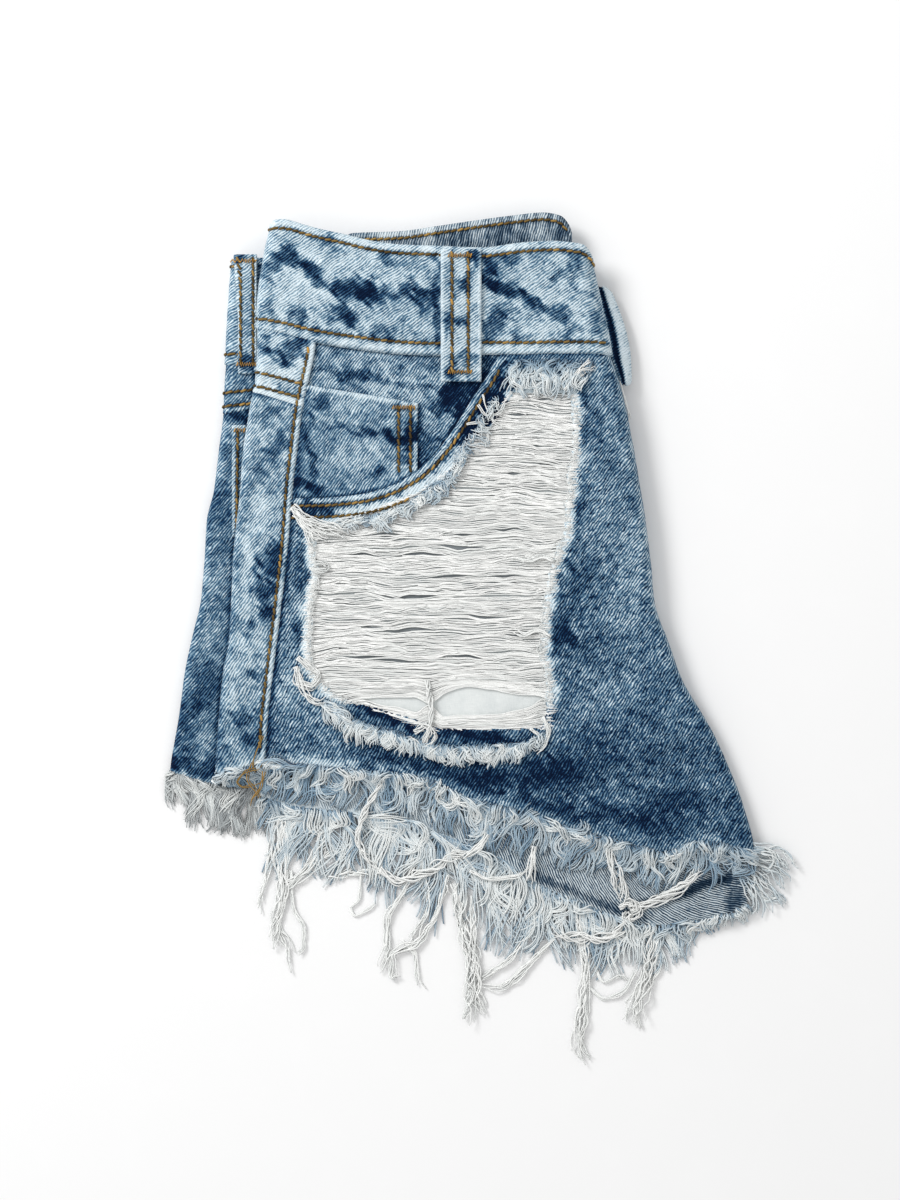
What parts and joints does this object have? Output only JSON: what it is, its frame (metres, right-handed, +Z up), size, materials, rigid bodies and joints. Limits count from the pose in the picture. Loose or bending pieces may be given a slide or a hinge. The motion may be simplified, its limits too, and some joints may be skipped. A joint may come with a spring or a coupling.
{
  "type": "folded denim cut-off shorts",
  "caption": "Ripped, bleached denim cut-off shorts with frayed hems, folded in half along the centre front and lying flat on a surface.",
  "frame": {"origin": "middle of the whole footprint, on the surface that the shorts lie on", "axes": "+X across the waistband to the folded centre front, +Y up the garment to the waistband, +Z up from the surface"},
  "size_m": [0.3034, 0.4057, 0.0222],
  "materials": {
    "denim": "acid-washed cotton twill",
    "denim_inside": "unwashed inner face of the twill, paler and greyer",
    "denim_layers": "folded edges of the denim layers",
    "pocketing": "plain white cotton",
    "weft_thread": "loose white cotton threads",
    "frayed_thread": "frayed pale blue and white threads",
    "topstitch_thread": "golden brown sewing thread"
  },
  "bodies": {
    "root": {"right_front": "denim", "front_pocket_facing": "denim", "coin_pocket": "denim", "front_pocket_bag": "pocketing", "rip_threads": "weft_thread", "rip_fray_top": "frayed_thread", "rip_fray_bottom": "frayed_thread", "right_back": "denim", "right_yoke": "denim", "waistband": "denim", "waistband_inside": "denim_inside", "right_back_hem": "denim_inside", "left_back": "denim", "left_yoke": "denim", "left_back_pocket": "denim", "left_waistband": "denim", "belt_loop_front": "denim", "belt_loop_side": "denim", "belt_loop_back": "denim", "folded_layers": "denim_layers", "fringe_upper_hem": "frayed_thread", "fringe_lower_hem": "frayed_thread", "fringe_left_hem": "frayed_thread"}
  },
  "joints": []
}
